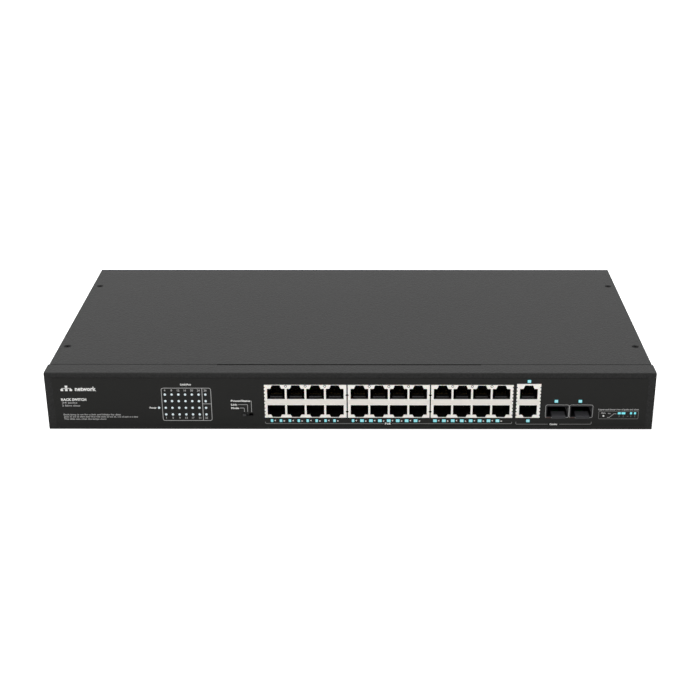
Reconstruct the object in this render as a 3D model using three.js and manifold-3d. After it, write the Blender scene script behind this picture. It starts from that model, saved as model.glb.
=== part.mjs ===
// Rackmount network switch, 1U: 24 modular jacks in three gangs, one 2-high combo gang,
// two small-form-factor cages, a status LED matrix and a three-position mode switch,
// in a two-piece sheet-steel case with its boards, supply and fans inside.
//
// Millimetres. +X is to the right seen from the front, +Y is to the back, +Z is up.
// The origin is under the middle of the case, on the surface that it stands on.
import * as THREE from 'three';
import { mergeVertices } from 'three/addons/utils/BufferGeometryUtils.js';
import Module from 'manifold-3d';

const wasm = await Module();
wasm.setup();

// ---- driving dimensions --------------------------------------------------------------
const WIDTH = 440;
const DEPTH = 236;
const HEIGHT = 44;
const SHEET = 0.8;
const BASE_SHEET = 1.0;
const FIT = 0.1;                 // gap between sheet-metal pieces that touch
const CLEAR = 0.2;               // gap between a moulded piece and its neighbour
const TOUCH = 0.05;              // gap between a small piece and what it sits on

const HALF = WIDTH / 2;
const FRONT = -DEPTH / 2;        // outer face of the front panel
const REAR = DEPTH / 2;          // outer face of the rear wall
const BEND = 1.4;                // outer radius of the panel's top bend
const LIP_DEPTH = 16.5;          // how far the panel's top return reaches back
const LIP_NOTCH = [-97, 95, 0.9]; // shallow notch in the middle of that return
const LIP_GAP = 0.7;             // groove between that return and the top cover
const WALL_X = HALF - SHEET - FIT;            // outer face of the base's side walls
const COVER_FRONT = FRONT + LIP_DEPTH + LIP_GAP;
const COVER_BOTTOM = HEIGHT - 0.9;
const WALL_TOP = COVER_BOTTOM - FIT;
const PANEL_BACK = FRONT + SHEET;

const COVER_SCREWS = [[-213, -65], [213, -65], [-213, 74], [213, 74]];

const BOARD_Z = 7.3;
const BOARD = 1.6;
const BOARD_TOP = BOARD_Z + BOARD;
const SEAT = BOARD_TOP + TOUCH;  // where parts stand on a board
const BOARD_FRONT = PANEL_BACK + 0.7;

// The jack gangs: four columns of ports a gang, two rows
const GANG_X = [-32.3, 27.95, 88];
const GANG_WIDTH = 59.5;
const COMBO_X = 128.85;
const COMBO_WIDTH = 17.5;
const PORT_PITCH = 14.15;
const PORT_WIDTH = 12.8;
const PORT_NOTCH = [3.95, 2.8];          // half widths of the latch notch, at its shoulder and end
const PORT_UPPER = [23.95, 32.1, 34.8];   // floor, shoulder and top of the latch notch
const PORT_LOWER = [19.35, 11.7, 9.7];   // roof, shoulder and bottom of the latch notch
const GANG_BOTTOM = 9.4;
const GANG_TOP = 35.1;
const COMBO_TOP = 35.9;
const BEZEL_FRONT = FRONT - 0.6;
const BEZEL_DEPTH = 0.8;
const JACK_DEPTH = 25.5;
const CAVITY_DEPTH = 15.5;
const CARRIER_SETBACK = 2.6;             // from the bezel's face to the contact carriers

// The small-form-factor cages
const CAGE_X = [150.1, 167.4];
const CAGE_WIDTH = 15.9;
const CAGE_Z = [9.9, 18.9];
const CAGE_WALL = 0.45;
const CAGE_LENGTH = 48;
const TONGUE = { width: 10, reach: 0.9, drop: 1.1, offset: 1.3 };

// The status LEDs: columns of four, and one power LED
const LED_COLUMNS = 7;
const LED_X = -133.75;
const LED_PITCH = 4.87;
const LED_ROWS = [27.45, 22.3, 17.05, 11.83];
const POWER_LED = [-138.6, 17.05];
const LED_HOLE = 1.15;

// The mode switch
const MODE_SLOT = { x: [-78.15, -70.35], z: [10.7, 12.8] };
const MODE_KNOB_X = -76.8;
const MODE_TRAVEL = 5.1;

// Fans on the left wall, and the rear inlet
const FAN_SIZE = 40;
const FAN_DEPTH = 20;
const FAN_Y = [-35, 10];
const FAN_Z = 22;
const FAN_OUTER_X = -WALL_X + BASE_SHEET + CLEAR;
const INLET_X = -150;
const INLET_Z = 22;
const PSU_BOARD = { x: [-190, -97], y: [-52, 108] };
const EAR_HOLES = { y: [-92, -72], z: [12, 32], r: 2.1 };
const GROUND_SCREW = [-110, 12];

// ---- materials ---------------------------------------------------------------------
function finish(color, roughness, metalness) {
  return new THREE.MeshStandardMaterial({ color, roughness, metalness });
}
const paint = finish(0x4a4a49, 0.7, 0.1);
const film = finish(0x2c2c2b, 0.55, 0);
const ivory = finish(0xe8e3da, 0.45, 0);
const blackPlastic = finish(0x121212, 0.5, 0);
const steel = finish(0x8e8e8c, 0.35, 1);
const darkScrew = finish(0x2a2a2a, 0.4, 0.8);
const fibreglass = finish(0x1f5a35, 0.5, 0);
const clear = finish(0xdfe6ea, 0.2, 0);
const aluminium = finish(0xb4b6b8, 0.4, 0.9);
const brass = finish(0xc9a85a, 0.3, 1);
const copper = finish(0xa6672f, 0.4, 0.8);
const chipPlastic = finish(0x1a1a1c, 0.5, 0);
const redLead = finish(0xa02818, 0.6, 0);
const brownLead = finish(0x5a3a1e, 0.6, 0);
const blueLead = finish(0x2a4a8a, 0.6, 0);
const greenLead = finish(0x3f8f3a, 0.6, 0);

// ---- solids ------------------------------------------------------------------------
function solid(geometry) {
  const bare = geometry.index ? geometry.toNonIndexed() : geometry.clone();
  bare.deleteAttribute('normal');
  bare.deleteAttribute('uv');
  const merged = mergeVertices(bare, 1e-4);
  return new wasm.Manifold(new wasm.Mesh({
    numProp: 3,
    vertProperties: new Float32Array(merged.attributes.position.array),
    triVerts: new Uint32Array(merged.index.array),
  }));
}

function join(...pieces) {
  return pieces.reduce((whole, piece) => whole.add(piece));
}

function cut(whole, ...tools) {
  return tools.reduce((rest, tool) => rest.subtract(tool), whole);
}

// A box from its low and high corner
function box(x, y, z) {
  const geometry = new THREE.BoxGeometry(x[1] - x[0], y[1] - y[0], z[1] - z[0]);
  geometry.translate((x[0] + x[1]) / 2, (y[0] + y[1]) / 2, (z[0] + z[1]) / 2);
  return solid(geometry);
}

// An outline of [u, v] points extruded from one place to another along an axis. The
// outline is in (y, z) along X, in (x, z) along Y and in (x, y) along Z.
function prism(axis, outline, from, to) {
  const shape = new THREE.Shape(outline.map(([u, v]) => new THREE.Vector2(u, v)));
  const geometry = new THREE.ExtrudeGeometry(shape, { depth: to - from, bevelEnabled: false });
  if (axis === 'x') {
    geometry.applyMatrix4(new THREE.Matrix4().makeBasis(
      new THREE.Vector3(0, 1, 0),
      new THREE.Vector3(0, 0, 1),
      new THREE.Vector3(1, 0, 0),
    ));
    geometry.translate(from, 0, 0);
  } else if (axis === 'y') {
    geometry.rotateX(Math.PI / 2);
    geometry.translate(0, to, 0);
  } else {
    geometry.translate(0, 0, from);
  }
  return solid(geometry);
}

// Points of an arc about [u, v], from one angle to another in degrees
function arc([u, v], r, from, to, steps) {
  return Array.from({ length: steps + 1 }, (_, i) => {
    const angle = THREE.MathUtils.degToRad(from + ((to - from) * i) / steps);
    return [u + r * Math.cos(angle), v + r * Math.sin(angle)];
  });
}

function disc(centre, r, segments) {
  return arc(centre, r, 0, 360, segments).slice(0, -1);
}

// A round bar along an axis; its centre is in that axis's own outline plane
function bar(axis, centre, r, from, to, segments = 12) {
  return prism(axis, disc(centre, r, segments), from, to);
}

// A solid of revolution about +Z from [r, z] points, turned to stand on [x, y, z]
// along a direction
function turned(profile, at, direction, segments) {
  const points = profile.map(([r, z]) => new THREE.Vector2(r, z));
  const geometry = new THREE.LatheGeometry(points, segments);
  geometry.rotateX(Math.PI / 2);
  const turn = new THREE.Quaternion().setFromUnitVectors(
    new THREE.Vector3(0, 0, 1),
    new THREE.Vector3(...direction),
  );
  geometry.applyQuaternion(turn);
  geometry.translate(...at);
  return solid(geometry);
}

// A round lead along a smooth curve through points
function lead(points, r, steps) {
  const curve = new THREE.CatmullRomCurve3(points.map((p) => new THREE.Vector3(...p)));
  const section = new THREE.Shape(disc([0, 0], r, 6).map(([u, v]) => new THREE.Vector2(u, v)));
  return solid(new THREE.ExtrudeGeometry(section, { steps, extrudePath: curve, bevelEnabled: false }));
}

const group = new THREE.Group();

function add(name, piece, material) {
  const { vertProperties, triVerts } = piece.getMesh();
  const geometry = new THREE.BufferGeometry();
  geometry.setAttribute('position', new THREE.BufferAttribute(vertProperties, 3));
  geometry.setIndex(new THREE.BufferAttribute(triVerts, 1));
  geometry.computeVertexNormals();
  const mesh = new THREE.Mesh(geometry, material);
  mesh.name = name;
  group.add(mesh);
}

// ---- port outlines, shared by bezels and bodies ----------------------------------------
function portCentres(centre, columns) {
  return Array.from({ length: columns }, (_, i) => centre + PORT_PITCH * (i - (columns - 1) / 2));
}

// The upper port has its latch notch above, the lower one below
function portOutline(x, [floor, shoulder, notch]) {
  const half = PORT_WIDTH / 2;
  const [atShoulder, atEnd] = PORT_NOTCH;
  return [
    [x - half, floor],
    [x + half, floor],
    [x + half, shoulder],
    [x + atShoulder, shoulder],
    [x + atEnd, notch],
    [x - atEnd, notch],
    [x - atShoulder, shoulder],
    [x - half, shoulder],
  ];
}

function upright(outline) {
  const area = THREE.ShapeUtils.area(outline.map(([u, v]) => new THREE.Vector2(u, v)));
  return area < 0 ? [...outline].reverse() : outline;
}

function ports(xs, from, to) {
  return xs.flatMap((x) => [PORT_UPPER, PORT_LOWER].map(
    (row) => prism('y', upright(portOutline(x, row)), from, to),
  ));
}

// ---- case --------------------------------------------------------------------------
function ledBars(r, sides, from, to) {
  const bars = [bar('y', POWER_LED, r, from, to, sides)];
  for (let column = 0; column < LED_COLUMNS; column += 1) {
    for (const z of LED_ROWS) {
      bars.push(bar('y', [LED_X + LED_PITCH * column, z], r, from, to, sides));
    }
  }
  return bars;
}

function gangWindow(grow, from, to) {
  const left = GANG_X[0] - GANG_WIDTH / 2;
  const right = GANG_X[2] + GANG_WIDTH / 2;
  return box([left - grow, right + grow], [from, to], [GANG_BOTTOM - grow, GANG_TOP + grow]);
}

function comboWindow(grow, from, to) {
  const x = [COMBO_X - COMBO_WIDTH / 2 - grow, COMBO_X + COMBO_WIDTH / 2 + grow];
  return box(x, [from, to], [GANG_BOTTOM - grow, COMBO_TOP + grow]);
}

function cageWindow(centre, grow, from, to) {
  const x = [centre - CAGE_WIDTH / 2 - grow, centre + CAGE_WIDTH / 2 + grow];
  return box(x, [from, to], [CAGE_Z[0] - grow, CAGE_Z[1] + grow]);
}

function modeWindow(from, to) {
  return box(MODE_SLOT.x, [from, to], MODE_SLOT.z);
}

function frontPanel() {
  const back = FRONT + LIP_DEPTH;
  const centre = [FRONT + BEND, HEIGHT - BEND];
  const outer = [[FRONT, 0], [back, 0], [back, HEIGHT], ...arc(centre, BEND, 90, 180, 4)];
  const inner = [
    [PANEL_BACK, -1],
    [back + 1, -1],
    [back + 1, HEIGHT - SHEET],
    ...arc(centre, BEND - SHEET, 90, 180, 4),
  ];
  const returnX = WALL_X - 2;
  const returnZ = BASE_SHEET + FIT;
  const [notchLeft, notchRight, notchDepth] = LIP_NOTCH;
  const through = [FRONT - 1, PANEL_BACK + 1];
  return cut(
    join(
      cut(prism('x', outer, -HALF, HALF), prism('x', inner, -HALF + SHEET, HALF - SHEET)),
      box([-returnX, returnX], [PANEL_BACK - 0.4, FRONT + 9], [returnZ, returnZ + SHEET]),
    ),
    box([notchLeft, notchRight], [back - notchDepth, back + 1], [HEIGHT - 2, HEIGHT + 1]),
    gangWindow(CLEAR, ...through),
    comboWindow(CLEAR, ...through),
    ...CAGE_X.map((x) => cageWindow(x, CLEAR, ...through)),
    modeWindow(...through),
    ...ledBars(LED_HOLE, 6, ...through),
  );
}

// The printed label film on the panel's face
const FILM = 0.3;

function frontOverlay() {
  const y = [FRONT - FILM - TOUCH, FRONT - TOUCH];
  const through = [FRONT - 2, FRONT + 1];
  return cut(
    box([-214.5, 214.5], y, [2.3, 40.2]),
    gangWindow(CLEAR, ...through),
    comboWindow(CLEAR, ...through),
    ...CAGE_X.map((x) => cageWindow(x, CLEAR, ...through)),
    modeWindow(...through),
  );
}

const SCREW_HEAD = 2.6;
const SCREW_TOP = HEIGHT - 0.15;
const COUNTERSINK = 2.9;

// Short tabs step down from the cover's front edge and reach under the panel's return
const COVER_TABS = { centres: [-185, -125, 125, 185], width: 30, drop: SHEET + 0.3, reach: 7 };

function coverTab(x) {
  const { width, drop, reach } = COVER_TABS;
  const top = HEIGHT - drop;
  const across = [x - width / 2, x + width / 2];
  return join(
    box(across, [COVER_FRONT, COVER_FRONT + SHEET], [top - SHEET, HEIGHT - 0.2]),
    box(across, [COVER_FRONT - reach, COVER_FRONT + SHEET], [top - SHEET, top]),
  );
}

function topCover() {
  const lid = box([-WALL_X, WALL_X], [COVER_FRONT, REAR], [COVER_BOTTOM, HEIGHT]);
  const sink = [[0, -1.5], [COUNTERSINK - 1.5, -1.5], [COUNTERSINK + 0.5, 0.5], [0, 0.5]];
  return cut(
    join(lid, ...COVER_TABS.centres.map(coverTab)),
    ...COVER_SCREWS.map(([x, y]) => turned(sink, [x, y, HEIGHT], [0, 0, 1], 12)),
  );
}

// Hexagonal holes in rings about a point of a side wall
function fanVents(y) {
  const pitch = 8;
  const vents = [];
  for (let row = -2; row <= 2; row += 1) {
    const count = 5 - Math.abs(row);
    for (let i = 0; i < count; i += 1) {
      const at = [y + pitch * (i - (count - 1) / 2), FAN_Z + pitch * row * Math.sin(Math.PI / 3)];
      const hexagon = disc([0, 0], 3.75, 6).map(([u, v]) => [at[0] + v, at[1] + u]);
      vents.push(prism('x', upright(hexagon), -WALL_X - 1, -WALL_X + BASE_SHEET + 1));
    }
  }
  return vents;
}

function sideSlots(y) {
  const slots = [];
  for (let i = 0; i < 8; i += 1) {
    const at = y + 6.5 * i;
    slots.push(box([WALL_X - 3, WALL_X + 1], [at - 1.5, at + 1.5], [10, 34]));
  }
  return slots;
}

const BOARD_SCREWS = [[-140, -68], [207, -50], [-84, 102], [207, 102]];
const PSU_SCREWS = [[-184, 102], [-103, -46]];
const INLET_CUT = { width: 27.4, height: 20.2 };
const INLET_SCREWS = [[INLET_X - 20, INLET_Z], [INLET_X + 20, INLET_Z]];

const PLAIN_POSTS = [[60, 40], [-184, -46], [-103, 102]];

function standoffPost(x, y) {
  return bar('z', [x, y], 3.2, BASE_SHEET - 0.2, BOARD_Z - FIT, 8);
}

function standoff(x, y) {
  return cut(standoffPost(x, y), bar('z', [x, y], 1.9, BASE_SHEET + 1, BOARD_Z + 1, 6));
}

function chassisBase() {
  const front = PANEL_BACK + FIT;
  const inside = WALL_X - BASE_SHEET;
  const tabs = COVER_SCREWS.map(([x, y]) => {
    const wall = Math.sign(x) * (WALL_X - 0.5);
    const inner = Math.sign(x) * (WALL_X - 13);
    return box(
      [Math.min(wall, inner), Math.max(wall, inner)],
      [y - 7, y + 7],
      [WALL_TOP - 1 - TOUCH, WALL_TOP - TOUCH],
    );
  });
  const tray = cut(
    box([-WALL_X, WALL_X], [front, REAR], [0, WALL_TOP]),
    box([-inside, inside], [front - 1, REAR - BASE_SHEET], [BASE_SHEET, HEIGHT]),
    box([-HALF, HALF], [front - 1, FRONT + BEND], [BASE_SHEET, HEIGHT]),
  );
  const shell = join(
    tray,
    ...tabs,
    ...[...BOARD_SCREWS, ...PSU_SCREWS].map(([x, y]) => standoff(x, y)),
    ...PLAIN_POSTS.map(([x, y]) => standoffPost(x, y)),
  );
  const ears = EAR_HOLES.y.flatMap((y) => EAR_HOLES.z.flatMap((z) => [
    bar('x', [y, z], EAR_HOLES.r, -WALL_X - 1, -WALL_X + BASE_SHEET + 1, 10),
    bar('x', [y, z], EAR_HOLES.r, WALL_X - BASE_SHEET - 1, WALL_X + 1, 10),
  ]));
  const inletX = [INLET_X - INLET_CUT.width / 2, INLET_X + INLET_CUT.width / 2];
  const inletZ = [INLET_Z - INLET_CUT.height / 2, INLET_Z + INLET_CUT.height / 2];
  const rear = [REAR - BASE_SHEET - 1, REAR + 1];
  return cut(
    shell,
    ...ears,
    ...COVER_SCREWS.map(([x, y]) => bar('z', [x, y], 1.9, WALL_TOP - 2, WALL_TOP + 1, 10)),
    ...FAN_Y.flatMap(fanVents),
    ...sideSlots(-30),
    ...sideSlots(40),
    box(inletX, rear, inletZ),
    ...INLET_SCREWS.map((at) => bar('y', at, 1.7, ...rear, 10)),
    bar('y', GROUND_SCREW, 2.1, ...rear, 10),
  );
}

// ---- jacks -------------------------------------------------------------------------
// Ivory front frame of a gang, in front of its black body
function jackBezel(centre, width, columns, top) {
  const x = [centre - width / 2, centre + width / 2];
  const y = [BEZEL_FRONT, BEZEL_FRONT + BEZEL_DEPTH];
  return cut(
    box(x, y, [GANG_BOTTOM, top]),
    ...ports(portCentres(centre, columns), BEZEL_FRONT - 1, BEZEL_FRONT + BEZEL_DEPTH + 1),
  );
}

// Black body with a blind cavity for each plug and the carrier of its contacts
function jackBody(centre, width, columns, top) {
  const front = BEZEL_FRONT + BEZEL_DEPTH + FIT;
  const xs = portCentres(centre, columns);
  const x = [centre - width / 2, centre + width / 2];
  const cavityEnd = BEZEL_FRONT + CAVITY_DEPTH;
  const carrier = [BEZEL_FRONT + CARRIER_SETBACK, cavityEnd + 0.5];
  return join(
    cut(
      box(x, [front, BEZEL_FRONT + JACK_DEPTH], [GANG_BOTTOM, top]),
      ...ports(xs, front - 1, cavityEnd),
    ),
    ...xs.map((at) => box([at - 4.4, at + 4.4], carrier, [PORT_UPPER[0] - 0.5, PORT_UPPER[0] + 1])),
    ...xs.map((at) => box([at - 4.4, at + 4.4], carrier, [PORT_LOWER[0] - 1, PORT_LOWER[0] + 0.5])),
  );
}

// ---- small-form-factor cages ----------------------------------------------------------
const CAGE_FRONT = FRONT - 0.6;
const CAGE_BACK = CAGE_FRONT + CAGE_LENGTH;

function sfpCage(centre) {
  const half = CAGE_WIDTH / 2;
  const inside = half - CAGE_WALL;
  const y = [CAGE_FRONT, CAGE_BACK];
  const floor = CAGE_Z[0] + CAGE_WALL;
  const tongueX = centre + TONGUE.offset;
  const tongue = prism('x', [
    [CAGE_FRONT - TONGUE.reach, CAGE_Z[0] - TONGUE.drop + CAGE_WALL],
    [CAGE_FRONT - TONGUE.reach + 0.2, CAGE_Z[0] - TONGUE.drop],
    [CAGE_FRONT + 0.2, CAGE_Z[0]],
    [CAGE_FRONT + 1.5, CAGE_Z[0]],
    [CAGE_FRONT + 1.5, floor],
    [CAGE_FRONT + 0.3, floor],
  ].reverse(), tongueX - TONGUE.width / 2, tongueX + TONGUE.width / 2);
  const legs = [[-1, 0.3], [1, 0.3], [-1, 0.75], [1, 0.75]].map(([side, along]) => {
    const outer = centre + side * half;
    const inner = centre + side * inside;
    const at = CAGE_FRONT + CAGE_LENGTH * along;
    return box([Math.min(outer, inner), Math.max(outer, inner)], [at, at + 2.5],
      [SEAT, CAGE_Z[0] + 1]);
  });
  return join(
    cut(
      box([centre - half, centre + half], y, CAGE_Z),
      box([centre - inside, centre + inside], [y[0] - 1, y[1] - CAGE_WALL], [floor, CAGE_Z[1] - CAGE_WALL]),
      box([centre - inside, centre + inside], [y[1] - 13, y[1] - CAGE_WALL], [CAGE_Z[0] - 1, floor + 1]),
      box([centre - 2.5, centre + 2.5], [y[0] + 10, y[0] + 14.5], [CAGE_Z[0] - 1, floor + 1]),
    ),
    tongue,
    ...legs,
  );
}

function sfpConnector(centre) {
  const y = [CAGE_BACK - 12, CAGE_BACK - 3];
  return cut(
    box([centre - 6.3, centre + 6.3], y, [SEAT, BOARD_TOP + 8]),
    box([centre - 5.2, centre + 5.2], [y[0] - 1, y[0] + 6.5], [BOARD_TOP + 3.6, BOARD_TOP + 5.2]),
  );
}

// ---- mode switch -------------------------------------------------------------------
const MODE_BODY = { x: [-83.5, -65.1], y: [PANEL_BACK + 0.3, PANEL_BACK + 7], z: [SEAT, 14.6] };

function modeSwitchBody() {
  const { x, y, z } = MODE_BODY;
  return cut(
    box(x, y, z),
    box([x[0] + 1.2, x[1] - 1.2], [y[0] - 1, y[1] - 1.2], [z[0] + 0.9, z[1] - 0.9]),
  );
}

function modeSwitchKnob() {
  const { y, z } = MODE_BODY;
  const lever = [MODE_KNOB_X - 1.15, MODE_KNOB_X + 1.15];
  const leverZ = [MODE_SLOT.z[0] + 0.15, MODE_SLOT.z[1] - 0.15];
  return join(
    box(lever, [FRONT - 1.5, y[0] + 1], leverZ),
    box([MODE_KNOB_X - 3.2, MODE_KNOB_X + 3.2], [y[0] + 0.2, y[1] - 1.4], [z[0] + 1.1, z[1] - 1.1]),
  );
}

// ---- boards and what is on them --------------------------------------------------------
function screwHoles(places, r) {
  return places.map(([x, y]) => bar('z', [x, y], r, BOARD_Z - 1, BOARD_TOP + 1, 10));
}

function mainBoard() {
  return cut(
    join(
      box([-146, 214], [BOARD_FRONT, -60], [BOARD_Z, BOARD_TOP]),
      box([-90, 214], [-80, 109], [BOARD_Z, BOARD_TOP]),
    ),
    ...screwHoles(BOARD_SCREWS, 1.8),
  );
}

// Clear comb that carries the light of the LEDs up to the panel's holes
function ledLightPipe() {
  const left = POWER_LED[0] - 2;
  const right = LED_X + LED_PITCH * (LED_COLUMNS - 1) + 2;
  const y = [PANEL_BACK + 1.2, PANEL_BACK + 3];
  return join(
    box([left, right], y, [SEAT, LED_ROWS[0] + 2]),
    ...ledBars(0.85, 4, FRONT + 0.1, y[0] + 0.5),
  );
}

function switchHeatsink(x, y, z, fins) {
  const pitch = (x[1] - x[0] - 1.6) / (fins - 1);
  const plates = [];
  for (let i = 0; i < fins; i += 1) {
    const at = x[0] + pitch * i;
    plates.push(box([at, at + 1.6], y, [z[0], z[1]]));
  }
  return join(box(x, y, [z[0], z[0] + 3]), ...plates);
}

// A row of isolating transformers behind a gang, moulded in one block with chamfered edges
const MAGNETICS = { y: [-70, -56], top: 17, length: 48, chamfer: 1 };

function magnetics(centre) {
  const { y, top, length, chamfer } = MAGNETICS;
  const outline = [
    [y[0], SEAT],
    [y[1], SEAT],
    [y[1], top - chamfer],
    [y[1] - chamfer, top],
    [y[0] + chamfer, top],
    [y[0], top - chamfer],
  ];
  return prism('x', outline, centre - length / 2, centre + length / 2);
}

function psuBoard() {
  return cut(
    box(PSU_BOARD.x, PSU_BOARD.y, [BOARD_Z, BOARD_TOP]),
    ...screwHoles(PSU_SCREWS, 1.8),
  );
}

// Ferrite core with its winding showing on both sides
function transformer(x, y) {
  return join(
    box([x - 17, x + 17], [y - 7, y + 7], [SEAT, SEAT + 28]),
    bar('y', [x, SEAT + 15], 11.5, y - 15, y + 15, 14),
    box([x - 13, x + 13], [y - 15.5, y + 15.5], [SEAT, SEAT + 3]),
  );
}

function canCapacitor(x, y, r, height) {
  const groove = 0.7;
  return turned([
    [0, 0], [r, 0], [r, 2.2], [r - groove, 3], [r, 3.8], [r, height - 0.8], [r - 0.8, height], [0, height],
  ], [x, y, SEAT], [0, 0, 1], 12);
}

// Upright finned plate with a foot
function uprightHeatsink(x, y, length) {
  const fins = [];
  for (let i = 0; i < 5; i += 1) {
    const z = SEAT + 6 + 5 * i;
    fins.push(box([x - 6, x + 0.5], [y, y + length], [z, z + 1.4]));
  }
  return join(box([x, x + 2.5], [y, y + length], [SEAT, SEAT + 28]), ...fins);
}

function lineChoke(x, y) {
  return join(
    cut(
      bar('y', [x, SEAT + 12], 11, y - 6, y + 6, 16),
      bar('y', [x, SEAT + 12], 5, y - 7, y + 7, 10),
    ),
    box([x - 9, x + 9], [y - 6.5, y + 6.5], [SEAT, SEAT + 3.2]),
  );
}

// ---- power inlet ---------------------------------------------------------------------
const INLET = { flange: [48, 23], flangeDepth: 2.4, body: [27, 19.8], depth: 24, recess: [24.4, 16.6] };
const INLET_SEAT = REAR + TOUCH;
const INLET_FACE = INLET_SEAT + INLET.flangeDepth;
const INLET_BACK = INLET_FACE - INLET.depth;
const INLET_TAIL = 6;            // how far the pins reach out behind the inlet

function chamferedOutline([width, height], grow, corner) {
  const x = width / 2 + grow;
  const z = height / 2 + grow;
  return [
    [INLET_X - x, INLET_Z - z],
    [INLET_X + x, INLET_Z - z],
    [INLET_X + x, INLET_Z + z - corner],
    [INLET_X + x - corner, INLET_Z + z],
    [INLET_X - x + corner, INLET_Z + z],
    [INLET_X - x, INLET_Z + z - corner],
  ];
}

const INLET_PINS = { line: [7, -2], neutral: [-7, -2], earth: [0, 2] };

function pinSlot([dx, dz], grow, from, to) {
  const at = [INLET_X + dx, INLET_Z + dz];
  return box(
    [at[0] - 1 - grow, at[0] + 1 + grow], [from, to], [at[1] - 2 - grow, at[1] + 2 + grow],
  );
}

function powerInlet() {
  const [width, height] = INLET.flange;
  const rim = [[-width / 2, 0], [-14, -height / 2], [14, -height / 2], [width / 2, 0], [14, height / 2],
    [-14, height / 2]].map(([u, v]) => [INLET_X + u, INLET_Z + v]);
  const flange = join(
    prism('y', upright(rim), INLET_SEAT, INLET_FACE),
    ...INLET_SCREWS.map((at) => bar('y', at, 4.5, INLET_SEAT, INLET_FACE, 16)),
  );
  return cut(
    join(flange, prism('y', chamferedOutline(INLET.body, 0, 4), INLET_BACK, REAR + 1)),
    prism('y', chamferedOutline(INLET.recess, 0, 4), INLET_BACK + 6, INLET_FACE + 1),
    ...INLET_SCREWS.map((at) => bar('y', at, 1.7, REAR - 1, INLET_FACE + 1, 12)),
    ...Object.values(INLET_PINS).map((pin) => pinSlot(pin, 0.1, INLET_BACK - 1, INLET_BACK + 7)),
  );
}

function inletPin(pin) {
  return pinSlot(pin, 0, INLET_BACK - INLET_TAIL, REAR - 0.5);
}

// ---- fans --------------------------------------------------------------------------
const FAN = { bore: 18.8, blade: 18.1, hub: 9.4, cup: 7.8, shaft: 1.45, bearing: 1.52 };

function fanFrame(y) {
  const x = [FAN_OUTER_X, FAN_OUTER_X + FAN_DEPTH];
  const half = FAN_SIZE / 2;
  const motor = [x[1] - 2.2, x[1]];
  const spokes = [0, 90, 180, 270].map((turn) => {
    const spoke = new THREE.BoxGeometry(2, half + 1, 2.4);
    spoke.translate(0, (half + 1) / 2, 0);
    spoke.rotateX(THREE.MathUtils.degToRad(turn + 45));
    spoke.translate(motor[0] + 1, y, FAN_Z);
    return solid(spoke);
  });
  const ring = cut(
    box(x, [y - half, y + half], [FAN_Z - half, FAN_Z + half]),
    bar('x', [y, FAN_Z], FAN.bore, x[0] - 1, x[1] + 1, 20),
    ...[[-16, -16], [16, -16], [-16, 16], [16, 16]].map(
      ([dy, dz]) => bar('x', [y + dy, FAN_Z + dz], 1.7, x[0] - 1, x[1] + 1, 6),
    ),
  );
  const within = box(motor, [y - half + 0.5, y + half - 0.5], [FAN_Z - half + 0.5, FAN_Z + half - 0.5]);
  return cut(
    join(
      ring,
      ...spokes.map((spoke) => spoke.intersect(within)),
      bar('x', [y, FAN_Z], 9, ...motor, 16),
      bar('x', [y, FAN_Z], 3.2, x[0] + 9, motor[0] + 0.5, 8),
    ),
    bar('x', [y, FAN_Z], FAN.bearing / Math.cos(Math.PI / 8), x[0] + 8, motor[1] - 0.8, 8),
  );
}

function fanRotor(y) {
  const x = [FAN_OUTER_X + 2, FAN_OUTER_X + FAN_DEPTH - 3];
  const hub = cut(
    bar('x', [y, FAN_Z], FAN.hub, ...x, 16),
    bar('x', [y, FAN_Z], FAN.cup, x[0] + 1.5, x[1] + 1, 12),
  );
  const blades = Array.from({ length: 7 }, (_, i) => {
    const blade = new THREE.BoxGeometry(13, FAN.bore - FAN.hub + 3, 1.1);
    blade.rotateY(THREE.MathUtils.degToRad(40));
    blade.translate(0, FAN.hub - 1 + (FAN.bore - FAN.hub + 3) / 2, 0);
    blade.rotateX((2 * Math.PI * i) / 7);
    blade.translate((x[0] + x[1]) / 2, y, FAN_Z);
    return solid(blade);
  });
  const tips = cut(
    bar('x', [y, FAN_Z], FAN.blade, ...x, 20),
    bar('x', [y, FAN_Z], FAN.hub - 0.8, x[0] - 1, x[1] + 1, 12),
  );
  return join(
    hub,
    ...blades.map((blade) => blade.intersect(tips)),
    bar('x', [y, FAN_Z], FAN.shaft, x[0] + 1, x[1] + 1, 8),
  );
}

// ---- screws ------------------------------------------------------------------------
function crossRecess(at, direction, depth) {
  const slots = [[0.62, 2.8], [2.8, 0.62]].map(([u, v]) => {
    const slot = new THREE.BoxGeometry(u, v, depth * 2);
    slot.applyQuaternion(new THREE.Quaternion().setFromUnitVectors(
      new THREE.Vector3(0, 0, 1),
      new THREE.Vector3(...direction),
    ));
    slot.translate(...at);
    return solid(slot);
  });
  return join(...slots);
}

function flatScrew(at, direction, head, shank, length) {
  const profile = [[0, -length], [shank, -length], [shank, -(head - shank)], [head, 0], [0, 0]];
  return cut(turned(profile, at, direction, 12), crossRecess(at, direction, 0.8));
}

function panScrew(at, direction, head, shank, length) {
  const profile = [
    [0, -length], [shank, -length], [shank, 0], [head, 0], [head, 1], [head * 0.6, 1.9], [0, 2.1],
  ];
  const top = at.map((value, i) => value + direction[i] * 2.1);
  return cut(turned(profile, at, direction, 12), crossRecess(top, direction, 1));
}

// A plain cylinder-head screw, for places inside the case
function boardScrew(x, y) {
  const profile = [[0, -4.5], [1.4, -4.5], [1.4, 0], [2.8, 0], [2.8, 1.6], [0, 1.6]];
  return turned(profile, [x, y, SEAT], [0, 0, 1], 8);
}

// ---- assembly ------------------------------------------------------------------------
add('chassis_base', chassisBase(), paint);
add('front_panel', frontPanel(), paint);
add('top_cover', topCover(), paint);
add('front_overlay', frontOverlay(), film);

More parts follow.
